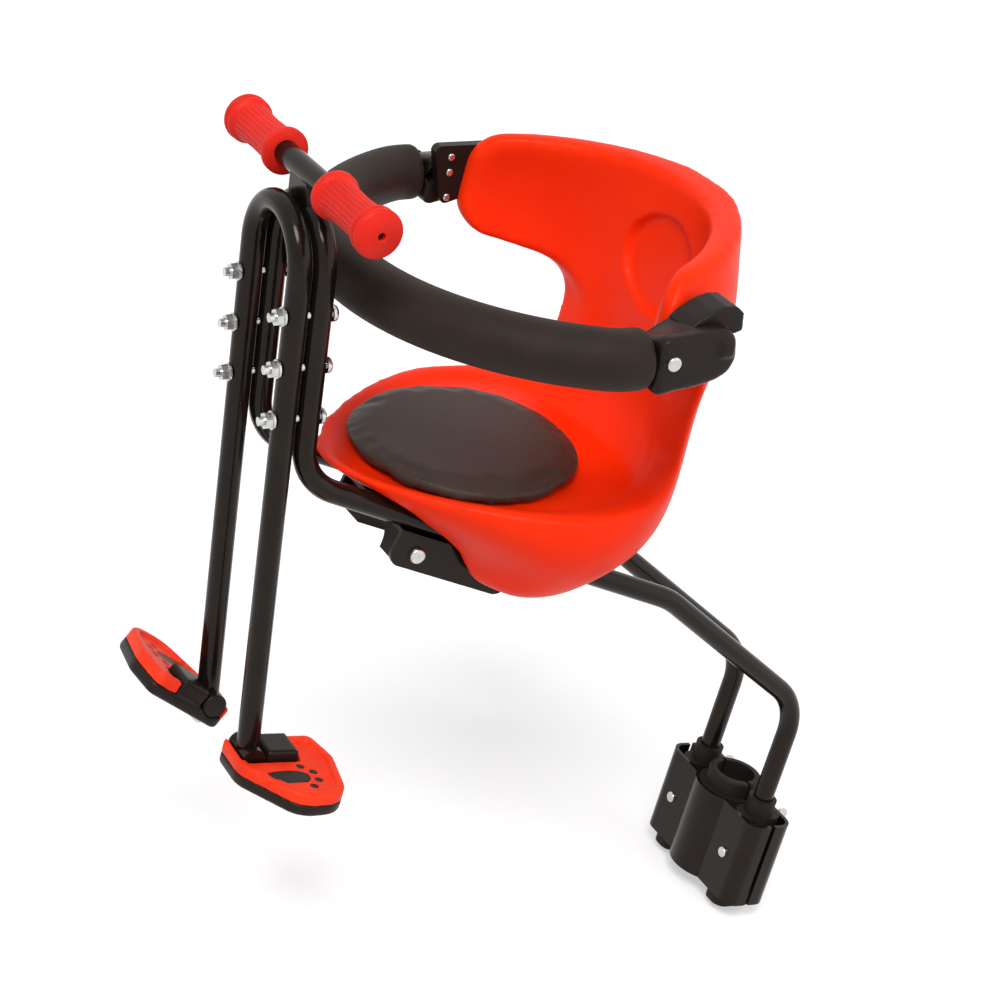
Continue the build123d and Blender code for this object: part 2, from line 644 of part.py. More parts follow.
inner_plate = Pos(0, -CLAMP_BODY_WIDTH / 2, 0) * extrude(plate_side.sketch, INNER_PLATE_T)
inner_screws = []
for height in INNER_SCREW_HEIGHTS:
    spot = Vector(-INNER_SCREW_BACK, -CLAMP_BODY_WIDTH / 2 - INNER_PLATE_T, height)
    inner_screws.append(along(spot, SIDE, round_head(INNER_SCREW_D, GUARD_BOLT_HEAD_H * 0.6)))
seated_plate = clamp_place * inner_plate - shell
seated_clamp = clamp_place * clamp_body - shell
for side_name, turn in (("left", lambda part: part), ("right", mirrored)):
    pieces[f"guard_clamp_{side_name}"] = turn(seated_clamp)
    pieces[f"guard_hook_{side_name}"] = turn(clamp_place * hook)
    pieces[f"guard_plate_{side_name}"] = turn(seated_plate)
pieces["guard_bolts"] = both_sides(clamp_place * guard_bolt)
pieces["guard_plate_screws"] = both_sides(clamp_place * (Part() + inner_screws))


# Pedals: the same moulding on both sides, turned half round, so one points back and the other forward
def pedal_outline():
    points = [
        (PEDAL_AHEAD, -PEDAL_IN),
        (PEDAL_AHEAD, PEDAL_OUT * 0.3),
        (-PEDAL_BEHIND * 0.27, PEDAL_OUT),
        (-PEDAL_BEHIND * 0.84, PEDAL_OUT * 0.96),
        (-PEDAL_BEHIND, PEDAL_OUT * 0.2),
        (-PEDAL_BEHIND * 0.9, -PEDAL_IN),
    ]
    radii = [PEDAL_INNER_R, PEDAL_FRONT_R, PEDAL_FRONT_R, PEDAL_REAR_R, PEDAL_REAR_R, PEDAL_INNER_R]
    return make_face(FilletPolyline(*points, radius=radii, close=True))


outline = pedal_outline()
parting = -BARREL_OD / 2 + SADDLE_DEPTH
notch_half = BARREL_LENGTH / 2 + NOTCH_MARGIN
notch_behind = BARREL_OD / 2 + BLOCK_GAP + BLOCK_LENGTH + NOTCH_MARGIN
notch_ahead = BARREL_OD / 2 + BLOCK_GAP
notch_box = Pos((notch_ahead - notch_behind) / 2, notch_half - PEDAL_OUT, 0) * Box(
    notch_ahead + notch_behind, 2 * PEDAL_OUT, 4 * TREAD_T
)
barrel_groove = Rot(90, 0, 0) * extrude(Circle(BARREL_OD / 2 + FIT / 2), PEDAL_OUT, both=True)
base_plate = Pos(0, 0, parting - BASE_T) * extrude(outline, BASE_T)
base_plate = fillet(base_plate.faces().sort_by(Axis.Z)[0].edges(), BASE_T / 3)
block_width = 2 * notch_half - NOTCH_MARGIN
block = Box(BLOCK_LENGTH, block_width, TREAD_T + BLOCK_RISE, align=(Align.MAX, Align.CENTER, Align.MIN))
block = Pos(-BARREL_OD / 2 - BLOCK_GAP, (PEDAL_IN - notch_half) / -2, parting) * block
block = fillet(block.faces().sort_by(Axis.Z)[-1].edges(), NOTCH_MARGIN)
block &= Pos(0, 0, parting) * extrude(outline, 2 * BARREL_OD)
base = base_plate + block
base -= barrel_groove & notch_box
pedal_screws = []
for step in (-1, 1):
    spot = Vector(0, step * BARREL_LENGTH / 4, parting - BASE_T)
    screw_length = BASE_T + BARREL_OD / 2
    base -= along(spot, Vector(0, 0, 1), rod(PEDAL_SCREW_D + FIT, -BASE_T, screw_length))
    screw = bolt(PEDAL_SCREW_D, screw_length, PEDAL_SCREW_HEAD_D, PEDAL_SCREW_HEAD_H)
    pedal_screws.append(along(spot, Vector(0, 0, 1), screw))
tread = Pos(0, 0, parting + FIT / 2) * extrude(outline, TREAD_T)
tread = fillet(tread.faces().sort_by(Axis.Z)[-1].edges(), TREAD_EDGE)
dish = Pos(0, 0, parting + TREAD_T - TREAD_DISH) * extrude(offset(outline, -TREAD_LIP), BARREL_OD)
tread -= dish
tread -= notch_box
sole = SlotOverall(SOLE_LENGTH, SOLE_WIDTH)
tread -= Pos(-SOLE_BEHIND, PEDAL_OUT * 0.52, parting) * extrude(sole, 2 * TREAD_T, both=True)
for toe in range(TOE_COUNT):
    swing = math.radians(TOE_FAN * (toe / (TOE_COUNT - 1) - 0.5))
    reach = SOLE_WIDTH / 2 + TOE_D
    toe_x = -SOLE_BEHIND - (SOLE_LENGTH - SOLE_WIDTH) / 2 - reach * math.cos(swing)
    toe_y = PEDAL_OUT * 0.52 + reach * math.sin(swing)
    tread -= Pos(toe_x, toe_y, parting) * extrude(Circle(TOE_D / 2), 2 * TREAD_T, both=True)
barrel = Rot(90, 0, 0) * extrude(Circle(BARREL_OD / 2), BARREL_LENGTH / 2, both=True)
for step in (-1, 1):
    barrel -= Pos(0, step * BARREL_LENGTH / 4, 0) * rod(PEDAL_SCREW_D + FIT, -BARREL_OD, SADDLE_DEPTH + FIT)
cap = Pos(0, -BARREL_LENGTH / 2, 0) * Rot(90, 0, 0) * extrude(Circle(BARREL_OD / 2), BARREL_CAP_T)
cap = fillet(cap.faces().sort_by(Axis.Y)[0].edges(), BARREL_CAP_T / 2)
leg_keep_out = swept(leg_path, Circle(TUBE_R + FIT))
left_foot = Pos(LEG_FOOT + LEFT_POST)
right_foot = Pos(LEG_FOOT - LEFT_POST)
left_turn = left_foot * Rot(0, -PEDAL_TILT_LEFT, 0)
right_turn = right_foot * Rot(0, -PEDAL_TILT_RIGHT, 0) * Rot(0, 0, 180)
pieces["pedal_barrel_left"] = left_turn * barrel
pieces["pedal_barrel_right"] = right_turn * barrel
pieces["pedal_barrel_caps"] = Part() + [left_turn * cap, right_turn * cap]
pieces["pedal_base_left"] = left_turn * base - leg_keep_out
pieces["pedal_base_right"] = right_turn * base - leg_keep_out
pieces["pedal_tread_left"] = left_turn * tread - leg_keep_out
pieces["pedal_tread_right"] = right_turn * tread - leg_keep_out
pieces["pedal_screws"] = Part() + [turn * screw for turn in (left_turn, right_turn) for screw in pedal_screws]

# Clamp on the seat tube: liner halves, tube sleeves, front and rear plates, bolts and wing nuts
liner_r = REAR_SPAN / 2 - TUBE_R - SLEEVE_WALL - LINER_GAP
step_r = SEAT_TUBE_R + LINER_STEP_WALL
plate_half = REAR_SPAN / 2 + TUBE_R + SLEEVE_WALL + PLATE_MARGIN
liner_outer = extrude(Circle(liner_r), PLATE_HEIGHT / 2, both=True)
liner_outer += extrude(Circle(step_r), PLATE_HEIGHT / 2 + LINER_STEP)
liner_outer = fillet(liner_outer.faces().sort_by(Axis.Z)[-1].edges(), LINER_STEP_WALL / 3)
liner = liner_outer - extrude(Circle(SEAT_TUBE_R), PLATE_HEIGHT, both=True)
half_space = Box(4 * liner_r, 4 * liner_r, 4 * PLATE_HEIGHT, align=(Align.MIN, Align.CENTER, Align.CENTER))
pieces["clamp_liner_front"] = liner & Pos(LINER_SPLIT / 2, 0, 0) * half_space
pieces["clamp_liner_rear"] = liner & Pos(-LINER_SPLIT / 2, 0, 0) * Rot(0, 0, 180) * half_space


def plate_profile(grow):
    """Plan of a plate's outer or inner face: a bulge round the liner between two flats, with wrapped ends."""
    flat = PLATE_DEPTH + grow
    bulge = liner_r + FIT + grow
    half = plate_half + grow
    tray = Pos(0, 0) * Rectangle(flat + PLATE_WRAP, 2 * half, align=(Align.MAX, Align.CENTER))
    tray = Pos(flat, 0) * tray
    front_corners = tray.vertices().sort_by(Axis.X)[-2:]
    tray = fillet(front_corners, PLATE_CORNER_R + grow)
    return tray + Circle(bulge)


def clamp_plate(depth_back):
    """Bulged sheet plate that faces +X and wraps back to the given depth behind the clamp's centre plane."""
    body = extrude(plate_profile(PLATE_T), PLATE_HEIGHT / 2, both=True)
    body -= extrude(plate_profile(0), PLATE_HEIGHT, both=True)
    keep = Pos(-depth_back, 0, 0) * Box(
        8 * plate_half, 8 * plate_half, 4 * PLATE_HEIGHT, align=(Align.MIN, Align.CENTER, Align.CENTER)
    )
    return body & keep


front_plate = clamp_plate(-PLATE_GAP / 2)
rear_plate = Rot(0, 0, 180) * clamp_plate(-PLATE_GAP / 2)
sleeve_plan = RectangleRounded(2 * PLATE_DEPTH, 2 * (TUBE_R + SLEEVE_WALL), PLATE_CORNER_R)
sleeve_core = Pos(0, 0, -PLATE_HEIGHT / 2 - SLEEVE_FOOT) * extrude(sleeve_plan, PLATE_HEIGHT + SLEEVE_FOOT)
sleeve_core += extrude(Circle(TUBE_R + SLEEVE_WALL), PLATE_HEIGHT / 2 + SLEEVE_STEP)
sleeve_core -= extrude(Circle(TUBE_R + FIT / 2), PLATE_HEIGHT, both=True)
sleeves = {side: Pos(0, side * REAR_SPAN / 2, 0) * sleeve_core for side in (1, -1)}
through = 2 * (PLATE_DEPTH + PLATE_T)
front_face = PLATE_DEPTH + PLATE_T
clamp_screw = bolt(CLAMP_BOLT_D, through + WING_HUB_H + BOLT_TIP, CLAMP_HEAD_D, CLAMP_HEAD_H)
clamp_stud = rod(CLAMP_BOLT_D, PLATE_T + FIT, through + WING_HUB_H + BOLT_TIP)
bolt_bore = rod(CLAMP_BOLT_D + FIT, -PLATE_T, 2 * through)
stud_bore = rod(CLAMP_BOLT_D + FIT, PLATE_T, 2 * through)
wing = Box(WING_SPAN, WING_T, WING_H, align=(Align.CENTER, Align.CENTER, Align.MIN))
wing = fillet(wing.edges().filter_by(Axis.Y), WING_H / 3)
wing_nut = extrude(Circle(WING_HUB_D / 2), WING_HUB_H) + wing
wing_nut -= rod(CLAMP_BOLT_D + FIT, -WING_H, 2 * WING_H)
screws = []
wing_nuts = []
for side in (1, -1):
    for height, shaft, bore in ((0.0, clamp_screw, bolt_bore), (CLAMP_STUD_Z, clamp_stud, stud_bore)):
        spot = Vector(front_face, side * REAR_SPAN / 2, height)
        cutter = along(spot, Vector(-1, 0, 0), bore)
        front_plate -= cutter
        rear_plate -= cutter
        main_frame -= cutter
        sleeves[side] -= cutter
        screws.append(along(spot, Vector(-1, 0, 0), shaft))
        nut_spot = Vector(-front_face, side * REAR_SPAN / 2, height)
        wing_nuts.append(along(nut_spot, Vector(-1, 0, 0), wing_nut))
pieces["clamp_front_plate"] = front_plate
pieces["clamp_rear_plate"] = rear_plate
pieces["clamp_sleeve_left"] = sleeves[1]
pieces["clamp_sleeve_right"] = sleeves[-1]
pieces["clamp_screws"] = Part() + screws
pieces["clamp_wing_nuts"] = Part() + wing_nuts

# Plugs in the lower ends of the main frame
end_cap = Pos(0, REAR_SPAN / 2, -REAR_TAIL) * (
    Pos(0, 0, -END_CAP_T) * extrude(Circle(TUBE_R), END_CAP_T)
    + extrude(Circle(TUBE_R - TUBE_WALL - FIT / 2), END_CAP_PLUG)
)
pieces["tube_end_caps"] = both_sides(end_cap)
pieces["main_frame"] = main_frame
pieces["footrest_frame"] = footrest_frame

for name, part in pieces.items():
    export_step(part, f"parts/{name}.step")
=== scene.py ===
# %% [markdown]
# A child's clamp-on seat with its own small handlebar, dressed for its picture. The construction model
# already gives every tube, plate, bolt and moulding its true size and place. Here the soft and rounded
# pieces get their real surface, every piece gets its finish, and a studio is set round the part. All
# lengths are in metres. The part faces +X, and its left side is +Y.

# %% Load the construction model
import json
import math
import bmesh
import bpy
import numpy as np
from mathutils import Euler, Matrix, Vector


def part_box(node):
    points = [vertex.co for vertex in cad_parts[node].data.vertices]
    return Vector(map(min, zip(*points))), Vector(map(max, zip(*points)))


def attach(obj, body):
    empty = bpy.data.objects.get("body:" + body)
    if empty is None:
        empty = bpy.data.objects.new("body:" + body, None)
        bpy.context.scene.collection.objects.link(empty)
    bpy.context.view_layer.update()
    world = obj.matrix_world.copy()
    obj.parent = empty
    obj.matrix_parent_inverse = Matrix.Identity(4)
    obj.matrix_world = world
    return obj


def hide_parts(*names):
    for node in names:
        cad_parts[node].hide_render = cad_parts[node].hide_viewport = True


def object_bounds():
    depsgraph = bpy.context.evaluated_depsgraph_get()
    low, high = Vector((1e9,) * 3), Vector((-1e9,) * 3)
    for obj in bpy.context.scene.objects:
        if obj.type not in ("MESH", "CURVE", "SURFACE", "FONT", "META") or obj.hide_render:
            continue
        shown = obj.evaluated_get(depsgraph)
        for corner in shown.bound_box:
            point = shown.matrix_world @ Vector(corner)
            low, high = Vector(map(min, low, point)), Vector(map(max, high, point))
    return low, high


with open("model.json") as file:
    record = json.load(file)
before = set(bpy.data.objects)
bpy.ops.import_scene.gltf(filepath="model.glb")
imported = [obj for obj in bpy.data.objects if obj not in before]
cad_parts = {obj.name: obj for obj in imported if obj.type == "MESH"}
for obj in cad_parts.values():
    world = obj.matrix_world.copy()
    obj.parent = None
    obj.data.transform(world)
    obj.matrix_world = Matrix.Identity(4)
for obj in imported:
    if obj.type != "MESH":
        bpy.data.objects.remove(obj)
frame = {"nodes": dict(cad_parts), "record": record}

scene = bpy.context.scene
nodes = frame["nodes"]
sides = ("left", "right")
cad_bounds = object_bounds()
print("nodes:", len(nodes), "bounds:", [round(v, 3) for v in (*cad_bounds[0], *cad_bounds[1])])

# %% [markdown]
# Finishes are built from shader nodes. Wiring nodes by hand hides the thought behind a finish, so one
# small class wraps a socket and lets a mask be written as a sum, and one method makes any other node:
# its type, then its settings, then what goes into its sockets.


# %% The socket class
class Value:
    """A shader output that can be added, multiplied and subtracted like a number."""

    def __init__(self, finish, output):
        self.finish = finish
        self.output = output

    def calc(self, operation, first, second):
        return self.finish.node("ShaderNodeMath", {"operation": operation}, {0: first, 1: second})

    def __add__(self, other):
        return self.calc("ADD", self, other)

    def __radd__(self, other):
        return self.calc("ADD", other, self)

    def __sub__(self, other):
        return self.calc("SUBTRACT", self, other)

    def __rsub__(self, other):
        return self.calc("SUBTRACT", other, self)

    def __mul__(self, other):
        return self.calc("MULTIPLY", self, other)

    def __rmul__(self, other):
        return self.calc("MULTIPLY", other, self)


print("a socket can be added, subtracted and multiplied")

# %% [markdown]
# A finish is one Principled shader in a node tree of its own. What varies over the surface comes from
# noise, ramps and bumps, and everything else is set on the shader's sockets directly.


# %% The node tree and the finish
class Nodes:
    """A node tree, with one method that makes any node in it."""

    def __init__(self, tree):
        self.tree = tree

    def node(self, kind, settings, inputs, output=0):
        made = self.tree.nodes.new(kind)
        for key, value in settings.items():
            if key == "stops":
                ramp = made.color_ramp
                while len(ramp.elements) < len(value):
                    ramp.elements.new(0.5)
                for element, (place, colour) in zip(ramp.elements, value):
                    element.position = place
                    element.color = (*colour, 1.0)
            else:
                setattr(made, key, value)
        for key, value in inputs.items():
            self.join(value, made.inputs[key])
        return Value(self, made.outputs[output])

    def join(self, value, socket):
        if isinstance(value, Value):
            self.tree.links.new(value.output, socket)
        else:
            socket.default_value = value

    def seen(self):
        """One where a surface is looked at, straight or in a reflection, and zero where it gives light."""
        rays = ("Is Camera Ray", "Is Glossy Ray", "Is Transmission Ray")
        camera, glossy, glass = (self.node("ShaderNodeLightPath", {}, {}, ray) for ray in rays)
        return camera + glossy + glass


class Finish(Nodes):
    """One material: a Principled shader whose varying inputs come from nodes made here."""

    def __init__(self, name, **constants):
        self.material = bpy.data.materials.new(name)
        self.material.use_nodes = True
        super().__init__(self.material.node_tree)
        self.shader = self.tree.nodes["Principled BSDF"]
        for socket, value in constants.items():
            self.shader.inputs[socket.replace("_", " ")].default_value = value

    def drive(self, **inputs):
        for socket, value in inputs.items():
            self.join(value, self.shader.inputs[socket.replace("_", " ")])

    def place(self):
        return self.node("ShaderNodeTexCoord", {}, {}, "Object")

    def noise(self, scale, detail=2.0):
        inputs = {"Vector": self.place(), "Scale": scale, "Detail": detail}
        return self.node("ShaderNodeTexNoise", {}, inputs, "Fac")

    def ramp(self, factor, stops):
        return self.node("ShaderNodeValToRGB", {"stops": stops}, {"Fac": factor}, "Color")

    def bump(self, height, strength, distance):
        inputs = {"Height": height, "Strength": strength, "Distance": distance}
        return self.node("ShaderNodeBump", {}, inputs, "Normal")


print("finish kit ready")

# %% [markdown]
# The tubes and sheet-metal pieces are powder-coated steel: almost black, glossy, with the faint orange
# peel that a baked coat has. A picture texture could show that, but a little noise in the roughness and
# the bump does it at any distance and needs no unwrapping. The gloss of all the black finishes is
# slightly warm.


# %% Black powder coat
warm_gloss = (1.0, 0.86, 0.74, 1.0)


def powder_coat():
    coat = Finish("black_powder_coat", Specular_IOR_Level=0.22, Specular_Tint=warm_gloss)
    peel = coat.noise(scale=900.0)
    patch = coat.noise(scale=38.0, detail=3.0)
    tone = coat.ramp(patch, [(0.3, (0.0055, 0.0040, 0.0032)), (0.75, (0.0090, 0.0066, 0.0052))])
    relief = coat.bump(peel, strength=0.08, distance=0.0004)
    coat.drive(Base_Color=tone, Roughness=0.12 + patch * 0.1, Normal=relief)
    return coat.material


black_coat = powder_coat()
print("made", black_coat.name)

# %% [markdown]
# The bucket is a blow-moulded plastic with a satin skin, strong orange-red all through. It is slightly
# mottled and has a very fine grain, which breaks the highlight up on the rims.


# %% Orange-red moulded plastic
def seat_plastic():
    skin = Finish("orange_red_plastic", Specular_IOR_Level=0.1)
    mottle = skin.noise(scale=14.0, detail=3.0)
    grain = skin.noise(scale=1500.0, detail=3.0)
    tone = skin.ramp(mottle, [(0.3, (0.90, 0.024, 0.0010)), (0.7, (0.97, 0.031, 0.0016))])
    relief = skin.bump(grain, strength=0.12, distance=0.0005)
    skin.drive(Base_Color=tone, Roughness=0.36 + mottle * 0.1, Normal=relief)
    return skin.material


seat_skin = seat_plastic()
print("made", seat_skin.name)

# %% [markdown]
# The treads of the pedals are the same colour in a drier plastic, and the grips are soft rubber a little
# deeper in colour. Both are matt enough to hold only a broad highlight.


# %% Pedal tread and grip rubber
def red_rubber(name, dark, light, roughness):
    rubber = Finish(name, Specular_IOR_Level=0.16)
    cloud = rubber.noise(scale=60.0, detail=3.0)
    grain = rubber.noise(scale=1800.0)
    tone = rubber.ramp(cloud, [(0.3, dark), (0.7, light)])
    relief = rubber.bump(grain, strength=0.15, distance=0.0004)
    rubber.drive(Base_Color=tone, Roughness=roughness + cloud * 0.12, Normal=relief)
    return rubber.material


tread_skin = red_rubber("pedal_tread_plastic", (0.80, 0.030, 0.006), (0.90, 0.045, 0.010), roughness=0.4)
grip_skin = red_rubber("grip_rubber", (0.64, 0.014, 0.007), (0.76, 0.022, 0.011), roughness=0.42)
print("made", tread_skin.name, "and", grip_skin.name)

# %% [markdown]
# The guard rail wears a closed-cell foam sleeve. Foam scatters light from countless tiny cells, so it is
# dark, very rough and slightly brown, with a faint sheen along its edges.


# %% Foam of the guard rail
def foam_skin():
    foam = Finish("guard_foam_skin", Specular_IOR_Level=0.18, Specular_Tint=warm_gloss, Sheen_Weight=0.02,
                  Sheen_Roughness=0.5)
    cells = foam.noise(scale=2200.0)
    cloud = foam.noise(scale=45.0, detail=4.0)
    tone = foam.ramp(cloud, [(0.25, (0.015, 0.0098, 0.0076)), (0.8, (0.023, 0.0150, 0.0116))])
    relief = foam.bump(cells, strength=0.25, distance=0.0006)
    foam.drive(Base_Color=tone, Roughness=0.5 + cells * 0.2, Normal=relief)
    return foam.material


guard_skin = foam_skin()
print("made", guard_skin.name)

# %% [markdown]
# The pad is covered in artificial leather: black with a warm cast, with a fine pebble grain. Cells of a
# Voronoi texture give pebbles with creases between them, as an embossed cover has.


# %% Artificial leather of the pad
def pad_leather():
    cover = Finish("pad_artificial_leather", Specular_IOR_Level=0.3, Specular_Tint=warm_gloss,
                   Sheen_Weight=0.03)
    pebble = cover.node("ShaderNodeTexVoronoi", {}, {"Vector": cover.place(), "Scale": 620.0}, "Distance")
    wear = cover.noise(scale=30.0, detail=4.0)
    tone = cover.ramp(wear, [(0.25, (0.024, 0.0145, 0.0112)), (0.8, (0.038, 0.0235, 0.0185))])
    relief = cover.bump(pebble, strength=0.18, distance=0.0006)
    cover.drive(Base_Color=tone, Roughness=0.44 + wear * 0.18, Normal=relief)
    return cover.material


pad_cover = pad_leather()
print("made", pad_cover.name)

# %% [markdown]
# Small black mouldings are satin plastic and the liners are dull rubber. The fasteners are zinc-plated:
# bright, slightly grainy metal whose roughness wanders a little.


# %% Black plastic, black rubber and zinc plate
def black_moulding(name, tone, roughness, grain_strength):
    plastic = Finish(name, Specular_IOR_Level=0.2, Specular_Tint=warm_gloss)
    cloud = plastic.noise(scale=55.0, detail=3.0)
    grain = plastic.noise(scale=1300.0)
    colour = plastic.ramp(cloud, [(0.3, tuple(0.75 * c for c in tone)), (0.75, tone)])
    relief = plastic.bump(grain, grain_strength, distance=0.0004)
    plastic.drive(Base_Color=colour, Roughness=roughness + cloud * 0.14, Normal=relief)
    return plastic.material


def zinc_plate():
    plating = Finish("zinc_plate", Metallic=1.0)
    spangle = plating.noise(scale=260.0, detail=3.0)
    tone = plating.ramp(spangle, [(0.3, (0.48, 0.48, 0.47)), (0.7, (0.64, 0.64, 0.62))])
    plating.drive(Base_Color=tone, Roughness=0.2 + spangle * 0.16)
    return plating.material


black_plastic = black_moulding(
    "satin_black_plastic", (0.0110, 0.0080, 0.0066), roughness=0.32, grain_strength=0.12
)
black_rubber = black_moulding(
    "dull_black_rubber", (0.014, 0.0112, 0.0098), roughness=0.55, grain_strength=0.2
)
zinc = zinc_plate()
print("made", black_plastic.name, black_rubber.name, zinc.name)

# %% [markdown]
# Every node of the construction model has a material slot, and each slot has one finish. The pieces that
# are shown as they are take it straight away.

# %% Give each construction piece its finish
finish_of_slot = {
    "black_paint": black_coat,
    "zinc_steel": zinc,
    "seat_plastic": seat_skin,
    "pad_cover": pad_cover,
    "foam": guard_skin,
    "grip_rubber": grip_skin,
    "tread_plastic": tread_skin,
    "black_plastic": black_plastic,
    "black_rubber": black_rubber,
}
slot_of_node = {row["node"]: row["material_slot"] for row in frame["record"]["subparts"]}
for name, piece in nodes.items():
    piece.data.materials.clear()
    piece.data.materials.append(finish_of_slot[slot_of_node[name]])
print("finished", len(nodes), "construction pieces")

# %% [markdown]
# Some pieces are shown in a finer form than the solids have. Most start as a copy of their solid, so
# they keep the true size and place, and then stand for that solid in its own finish.


# %% Helpers for pieces that stand for a solid
def new_piece(name, vertices, faces):
    mesh = bpy.data.meshes.new(name)
    mesh.from_pydata(vertices, [], faces)
    piece = bpy.data.objects.new(name, mesh)
    scene.collection.objects.link(piece)
    return piece


def copy_of(node, name):
    piece = bpy.data.objects.new(name, nodes[node].data.copy())
    scene.collection.objects.link(piece)
    return piece


def settle(piece):
    """Turn the modifiers of a piece into its own mesh."""
    graph = bpy.context.evaluated_depsgraph_get()
    mesh = bpy.data.meshes.new_from_object(piece.evaluated_get(graph))
    piece.modifiers.clear()
    piece.data = mesh


def stand_for(piece, node):
    piece.data.materials.clear()
    piece.data.materials.append(finish_of_slot[slot_of_node[node]])
    piece.data.polygons.foreach_set("use_smooth", [True] * len(piece.data.polygons))
    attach(piece, "root")
    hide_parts(node)
    print(piece.name, "stands for", node, "with", len(piece.data.polygons), "faces")


print("slots in use:", len(set(slot_of_node.values())))

# %% [markdown]
# A form is reshaped by moving its points, all at once as an array. Two helpers read and write that
# array. Two more say where a piece is and how far a value has come along a range, which blends one shape
# into another.


# %% Helpers that measure and reshape
def points_of(mesh):
    flat = np.empty(len(mesh.vertices) * 3)
    mesh.vertices.foreach_get("co", flat)
    return flat.reshape(-1, 3)


def set_points(mesh, points):
    mesh.vertices.foreach_set("co", points.ravel())
    mesh.update()


def middle_of(node):
    low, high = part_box(node)
    return (low + high) / 2


def share(values, start, end):
    """How far values have come from start to end, from 0 to 1."""
    return np.clip((values - start) / (end - start), 0.0, 1.0)


print("middle of the shell:", [round(v, 3) for v in middle_of("seat_shell")])

# %% [markdown]
# Moulded pieces have no sharp edge. A bevel could round the solids' crisp ones, but it stumbles where
# many edges meet, as on the bucket's rim. So a copy is covered with an even skin of small faces and
# relaxed: relaxing takes a corner down to a soft round and leaves a broad wall where it is. The copy is
# turned askew while the skin is made, so that no long edge runs along the cells of the skin and shows
# steps.


# %% Helpers that soften a form
askew = np.array(Euler((0.6, 0.5, 0.3)).to_matrix())


def relax(piece, rounds):
    smooth = piece.modifiers.new("relax", "SMOOTH")
    smooth.factor = 0.5
    smooth.iterations = rounds
    settle(piece)


def even_skin(piece, face_size):
    set_points(piece.data, points_of(piece.data) @ askew.T)
    skin = piece.modifiers.new("skin", "REMESH")
    skin.mode = "VOXEL"
    skin.voxel_size = face_size
    settle(piece)
    set_points(piece.data, points_of(piece.data) @ askew)


def moulded(node, face_size, rounds):
    piece = copy_of(node, f"{node}_moulded")
    even_skin(piece, face_size)
    relax(piece, rounds)
    return piece


print("softening helpers ready")

# %% [markdown]
# The bucket's wall rolls over at the rim in a wide round, so it is relaxed for long. That also shrinks
# it, so what a second pass would take away is given back once. The rolled rim of the back stands a few
# millimetres above the solid's sharp one.

# %% Seat shell with rolled rims
rim_low, rim_high, rim_lift = 0.46, 0.53, 0.007
wall_rounds, rim_rounds = 50, 12

shell = moulded("seat_shell", face_size=0.0024, rounds=5)
crisp = points_of(shell.data)
relax(shell, wall_rounds)
once = points_of(shell.data)
relax(shell, wall_rounds)
soft = 2.0 * once - points_of(shell.data)
climb = share(soft[:, 2], rim_low, rim_high)
soft[:, 2] += rim_lift * climb**2 * (3.0 - 2.0 * climb)
set_points(shell.data, soft)
relax(shell, rim_rounds)
soft = points_of(shell.data)
print("rim of the back at", round(soft[:, 2].max(), 4))

# %% [markdown]
# The sunk shield in the back has tighter edges than the rim. Inside an oval round it, the early, crisp
# state of the skin is put back.

# %% Sunk shield in the back of the shell
shield_height, shield_half_width, shield_half_height = 0.478, 0.042, 0.034
back_from, back_to = 0.215, 0.26
oval_inner, oval_outer = 1.2, 1.5

from_shield = np.hypot(crisp[:, 1] / shield_half_width, (crisp[:, 2] - shield_height) / shield_half_height)
in_back = (crisp[:, 0] > back_from) & (crisp[:, 0] < back_to)
keep = share(from_shield, oval_outer, oval_inner) * in_back
set_points(shell.data, soft + (crisp - soft) * keep[:, None])
relax(shell, rounds=2)
stand_for(shell, "seat_shell")

# %% [markdown]
# The pedals are thick mouldings with softly broken edges. In the foot-shaped openings of the treads, the
# dark base comes up in lands that end a little below the tread: one long land for the sole and a fan of
# four round ones for the toes. They are laid out from the middle of the pedal's barrel.


# %% Lands of the foot shape
def foot_lands():
    """Place, half length and half width of each land."""
    sole_x, sole_y, sole_half_length, sole_half_width = -0.018, 0.0322, 0.0175, 0.0078
    fan_x, fan_reach, toe_radius = -0.0265, 0.0135, 0.0031
    lands = [(sole_x, sole_y, sole_half_length, sole_half_width)]
    for swing in (-65.0, -21.7, 21.7, 65.0):
        angle = math.radians(swing)
        toe_x = fan_x - fan_reach * math.cos(angle)
        lands.append((toe_x, sole_y + fan_reach * math.sin(angle), toe_radius, toe_radius))
    return lands


def add_lands(piece, place, top):
    height = 0.005
    unit = {"cap_ends": True, "segments": 32, "radius1": 1, "radius2": 1, "depth": 1}
    mesh = bmesh.new()
    mesh.from_mesh(piece.data)
    for x, y, half_length, half_width in foot_lands():
        spot = Matrix.Translation((x, y, top - height / 2))
        size = Matrix.Diagonal((half_length, half_width, height, 1.0))
        bmesh.ops.create_cone(mesh, matrix=place @ spot @ size, **unit)
    mesh.to_mesh(piece.data)
    mesh.free()


print("lands in each tread:", len(foot_lands()))

# %% [markdown]
# The left pedal lies level. The right one is the same piece after half a turn, tilted up about its
# barrel, so its lands are placed in axes that are turned in the same way.

# %% Pedals
right_tilt = math.radians(29.0)
below_lip = 0.0032
land_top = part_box("pedal_tread_left")[1].z - middle_of("pedal_barrel_left").z - below_lip
turn_of_side = {
    "left": Matrix.Identity(4),
    "right": Matrix.Rotation(-right_tilt, 4, "Y") @ Matrix.Rotation(math.pi, 4, "Z"),
}
for side in sides:
    stand_for(moulded(f"pedal_tread_{side}", face_size=0.0010, rounds=4), f"pedal_tread_{side}")
    base = moulded(f"pedal_base_{side}", face_size=0.0012, rounds=5)
    barrel = Matrix.Translation(middle_of(f"pedal_barrel_{side}"))
    add_lands(base, barrel @ turn_of_side[side], land_top)
    stand_for(base, f"pedal_base_{side}")
    base.data.set_sharp_from_angle(angle=math.radians(40))

